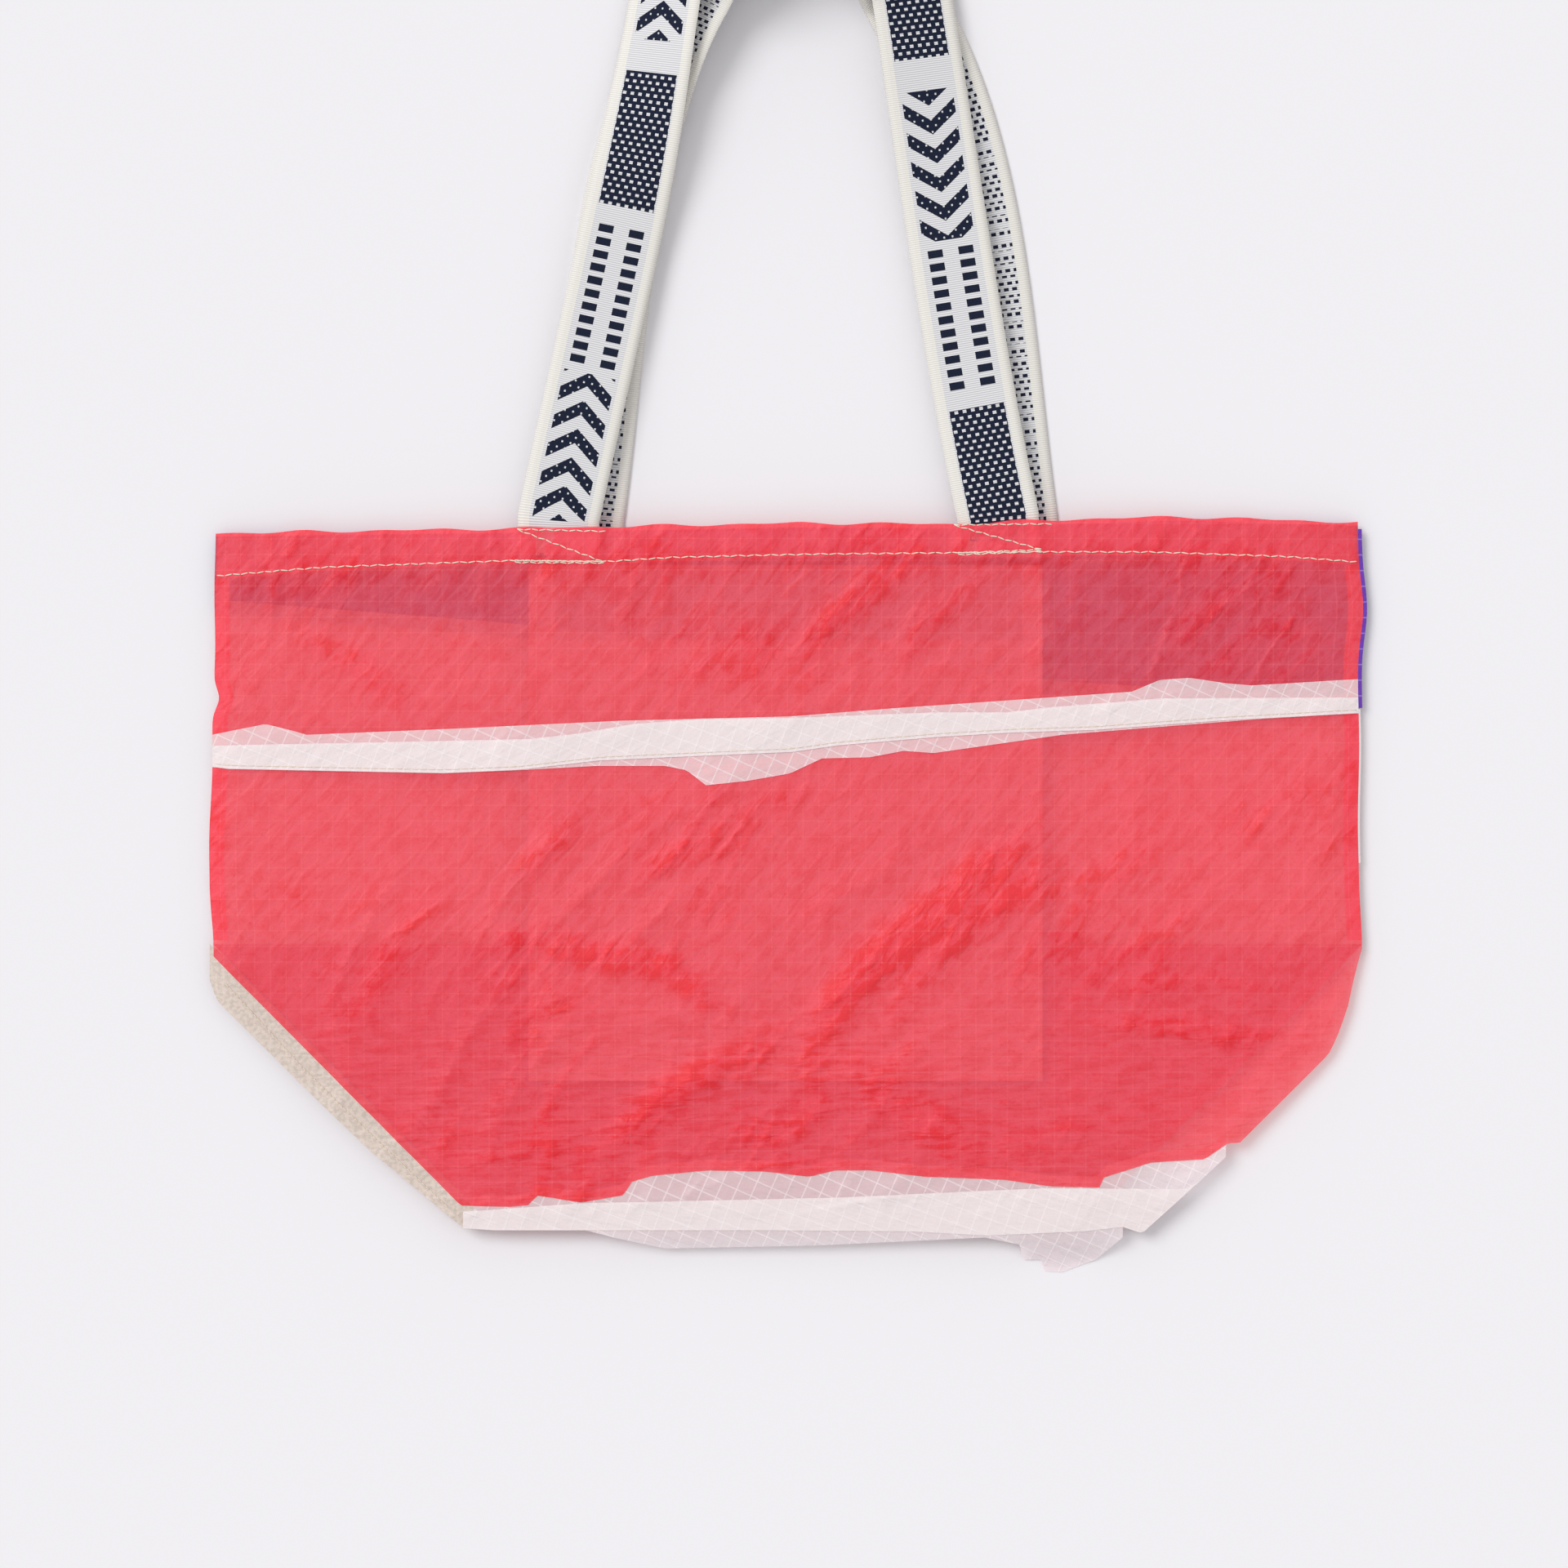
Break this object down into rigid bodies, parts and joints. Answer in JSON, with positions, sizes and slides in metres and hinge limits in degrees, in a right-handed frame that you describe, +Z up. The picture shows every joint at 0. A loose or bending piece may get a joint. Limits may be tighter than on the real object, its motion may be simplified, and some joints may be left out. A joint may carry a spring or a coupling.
{
  "type": "foldable tote bag",
  "caption": "Thin ripstop tote bag laid flat, with a tucked box base, folded corners, an inner stow pocket and two webbing handles.",
  "frame": {"origin": "centre of the whole flat bag with its handles, on the surface it lies on", "axes": "+X across the bag, +Y from the bottom crease towards the handles, +Z up through its thickness, from the back panel to the front panel"},
  "size_m": [0.537, 0.643, 0.0382],
  "materials": {
    "red_ripstop": "crinkled translucent ripstop, satin",
    "purple_ripstop": "crinkled ripstop, satin",
    "pale_ripstop": "crinkled translucent ripstop, satin",
    "pocket_ripstop": "light translucent ripstop, satin",
    "white_ripstop": "frayed white ripstop, satin",
    "beige_ripstop": "mottled ripstop, satin",
    "webbing": "jacquard webbing with ribbed pale edges, matt",
    "thread": "sewing thread, matt"
  },
  "bodies": {
    "back_panel": {"back_upper_centre": "purple_ripstop", "back_lower_centre": "pale_ripstop", "back_hem_centre": "purple_ripstop", "back_hem_thread_centre": "thread", "back_handle_end_left": "webbing", "back_handle_end_right": "webbing", "back_handle_thread": "thread"},
    "back_flank_left": {"back_upper_left": "purple_ripstop", "back_lower_left": "pale_ripstop", "back_hem_left": "purple_ripstop", "back_hem_thread_left": "thread", "side_seam_back_left": "red_ripstop"},
    "back_flank_right": {"back_upper_right": "purple_ripstop", "back_lower_right": "pale_ripstop", "back_hem_right": "purple_ripstop", "back_hem_thread_right": "thread", "side_seam_back_right": "red_ripstop"},
    "base_rear_half": {"base_back": "red_ripstop", "base_seam_back": "red_ripstop"},
    "base_front_half": {"base_front": "red_ripstop", "base_seam_front": "red_ripstop"},
    "front_panel": {"front_upper_centre": "red_ripstop", "front_lower_centre": "red_ripstop", "front_tape_centre": "white_ripstop", "front_tape_thread_centre": "thread", "front_hem_centre": "red_ripstop", "front_hem_thread_centre": "thread", "front_handle_end_left": "webbing", "front_handle_end_right": "webbing", "front_handle_thread": "thread", "pocket_outer": "pocket_ripstop", "pocket_inner": "pocket_ripstop", "pocket_thread": "thread", "bottom_tape": "white_ripstop"},
    "front_flank_left": {"front_upper_left": "red_ripstop", "front_lower_left": "red_ripstop", "front_tape_left": "white_ripstop", "front_tape_thread_left": "thread", "front_hem_left": "red_ripstop", "front_hem_thread_left": "thread", "side_seam_front_left": "red_ripstop", "corner_strip_left": "beige_ripstop"},
    "front_flank_right": {"front_upper_right": "red_ripstop", "front_lower_right": "red_ripstop", "front_tape_right": "white_ripstop", "front_tape_thread_right": "thread", "front_hem_right": "red_ripstop", "front_hem_thread_right": "thread", "side_seam_front_right": "red_ripstop"},
    "corner_fold_back_left": {"corner_back_left": "red_ripstop"},
    "corner_fold_back_right": {"corner_back_right": "red_ripstop"},
    "corner_fold_front_left": {"corner_front_left": "red_ripstop"},
    "corner_fold_front_right": {"corner_front_right": "red_ripstop"},
    "front_handle": {"handle_front": "webbing"},
    "back_handle": {"handle_back": "webbing"}
  },
  "joints": [
    {"name": "base_unfold", "type": "hinge", "parent": "back_panel", "child": "base_rear_half", "pos_m": [0, -0.3, 0.0005], "axis": [1, 0, 0], "range_deg": [0, 88.17]},
    {"name": "base_seam_unfold", "type": "hinge", "parent": "base_rear_half", "child": "base_front_half", "pos_m": [0, -0.167, 0.00475], "axis": [-1, 0, 0], "range_deg": [0, 176.34]},
    {"name": "front_panel_level", "type": "hinge", "parent": "base_front_half", "child": "front_panel", "pos_m": [0, -0.3, 0.009], "axis": [1, 0, 0], "range_deg": [0, 88.17]},
    {"name": "back_flank_left_fold", "type": "hinge", "parent": "back_panel", "child": "back_flank_left", "pos_m": [-0.1355, -0.3, 0.0005], "axis": [0, 1, 0], "range_deg": [0, 88.17]},
    {"name": "back_flank_right_fold", "type": "hinge", "parent": "back_panel", "child": "back_flank_right", "pos_m": [0.1355, -0.3, 0.0005], "axis": [0, -1, 0], "range_deg": [0, 88.17]},
    {"name": "front_flank_left_fold", "type": "hinge", "parent": "front_panel", "child": "front_flank_left", "pos_m": [-0.1355, -0.3, 0.009], "axis": [0, -1, 0], "range_deg": [0, 88.17]},
    {"name": "front_flank_right_fold", "type": "hinge", "parent": "front_panel", "child": "front_flank_right", "pos_m": [0.1355, -0.3, 0.009], "axis": [0, 1, 0], "range_deg": [0, 88.17]},
    {"name": "corner_back_left_fold", "type": "hinge", "parent": "back_flank_left", "child": "corner_fold_back_left", "pos_m": [-0.1355, -0.3, 0.0005], "axis": [0.7069, -0.7069, -0.0226], "range_deg": [0, 177.42]},
    {"name": "corner_back_right_fold", "type": "hinge", "parent": "back_flank_right", "child": "corner_fold_back_right", "pos_m": [0.1355, -0.3, 0.0005], "axis": [0.7069, 0.7069, 0.0226], "range_deg": [0, 177.42]},
    {"name": "corner_front_left_fold", "type": "hinge", "parent": "front_flank_left", "child": "corner_fold_front_left", "pos_m": [-0.1355, -0.3, 0.009], "axis": [-0.7069, 0.7069, -0.0226], "range_deg": [0, 177.42]},
    {"name": "corner_front_right_fold", "type": "hinge", "parent": "front_flank_right", "child": "corner_fold_front_right", "pos_m": [0.1355, -0.3, 0.009], "axis": [-0.7069, -0.7069, 0.0226], "range_deg": [0, 177.42]},
    {"name": "front_handle_swing", "type": "hinge", "parent": "front_panel", "child": "front_handle", "pos_m": [0, 0.0305, 0.0084], "axis": [1, 0, 0], "range_deg": [0, 160]},
    {"name": "back_handle_swing", "type": "hinge", "parent": "back_panel", "child": "back_handle", "pos_m": [0, 0.0305, 0.0011], "axis": [-1, 0, 0], "range_deg": [0, 160]}
  ],
  "couplings": [
    {"joint": "base_seam_unfold", "follows": "base_unfold", "ratio": 2},
    {"joint": "front_panel_level", "follows": "base_unfold", "ratio": 1},
    {"joint": "back_flank_left_fold", "follows": "base_unfold", "ratio": 1},
    {"joint": "back_flank_right_fold", "follows": "base_unfold", "ratio": 1},
    {"joint": "front_flank_left_fold", "follows": "base_unfold", "ratio": 1},
    {"joint": "front_flank_right_fold", "follows": "base_unfold", "ratio": 1},
    {"joint": "corner_back_left_fold", "follows": "base_unfold", "ratio": 2.0122},
    {"joint": "corner_back_right_fold", "follows": "base_unfold", "ratio": 2.0122},
    {"joint": "corner_front_left_fold", "follows": "base_unfold", "ratio": 2.0122},
    {"joint": "corner_front_right_fold", "follows": "base_unfold", "ratio": 2.0122}
  ]
}
